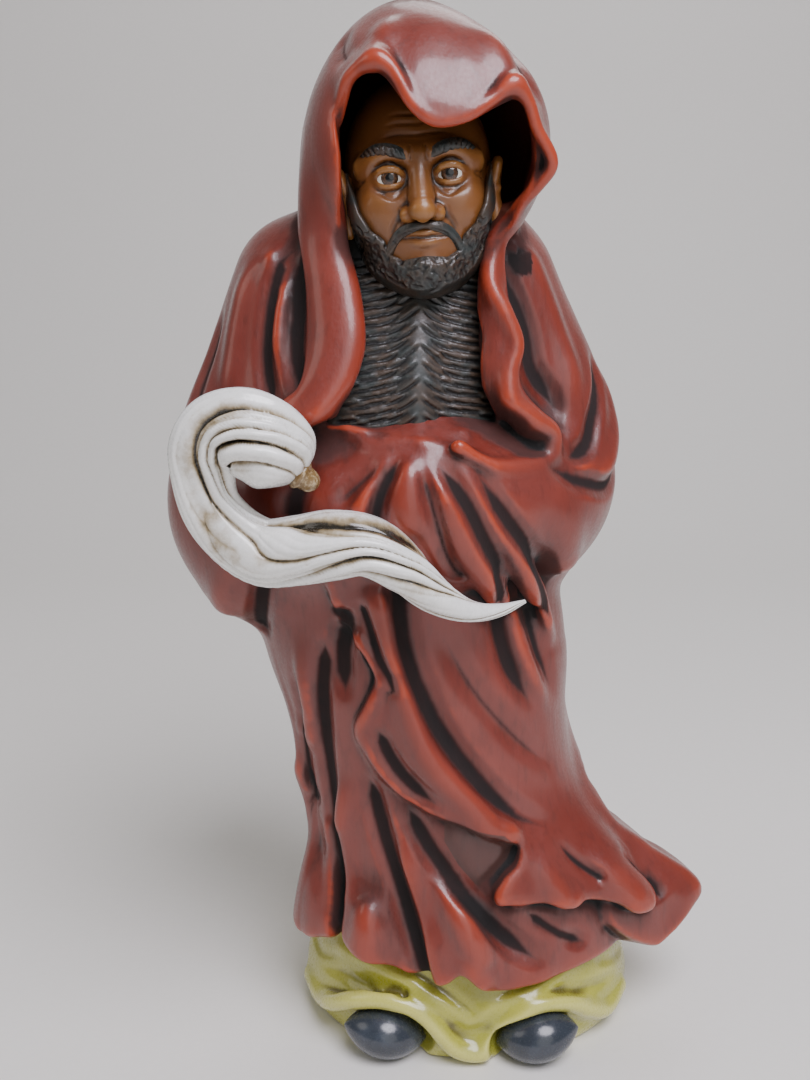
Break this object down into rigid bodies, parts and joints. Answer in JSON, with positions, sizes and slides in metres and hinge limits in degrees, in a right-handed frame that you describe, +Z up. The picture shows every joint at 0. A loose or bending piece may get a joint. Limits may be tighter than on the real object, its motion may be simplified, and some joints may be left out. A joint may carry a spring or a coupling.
{
  "type": "hooded monk figurine",
  "caption": "Free-standing glazed ceramic figure of a hooded bearded monk, hands under the robe, holding a curled white horsehair whisk, on an oval foot.",
  "frame": {"origin": "middle of the flat oval foot, on the surface it stands on", "axes": "+Z up through the hood, -Y the way the figure faces, +X the figure's left side"},
  "size_m": [0.1686, 0.1056, 0.3],
  "materials": {
    "robe_glaze": "muted brick-red glaze, glossy, orange-red where it thins on the ridges, near black in the folds",
    "foot_glaze": "greenish yellow glaze, glossy, brown in the hollows",
    "shoe_glaze": "blue-grey glaze, glossy",
    "skin_glaze": "ochre-brown glaze, glossy, dark brown in the hollows",
    "hair_glaze": "dark grey-brown glaze over combed clay",
    "chest_glaze": "dark grey-green and brown glaze over combed clay",
    "eye_glaze": "white glaze with a dark iris",
    "whisk_glaze": "white glaze, yellow-brown and black in the strand grooves",
    "collar_glaze": "brown glaze"
  },
  "bodies": {
    "root": {"base_plate": "foot_glaze", "under_robe": "foot_glaze", "shoe_right": "shoe_glaze", "shoe_left": "shoe_glaze", "inner_robe": "robe_glaze", "outer_robe": "robe_glaze", "mantle": "robe_glaze", "right_sleeve": "robe_glaze", "left_sleeve": "robe_glaze", "front_drape": "robe_glaze", "right_lapel": "robe_glaze", "left_lapel": "robe_glaze", "chest": "chest_glaze", "head": "skin_glaze", "beard": "hair_glaze", "moustache": "hair_glaze", "eyebrow_right": "hair_glaze", "eyebrow_left": "hair_glaze", "eye_right": "eye_glaze", "eye_left": "eye_glaze", "ear_right": "skin_glaze", "ear_left": "skin_glaze", "hood": "robe_glaze", "whisk_tuft": "whisk_glaze", "whisk_collar": "collar_glaze"}
  },
  "joints": []
}
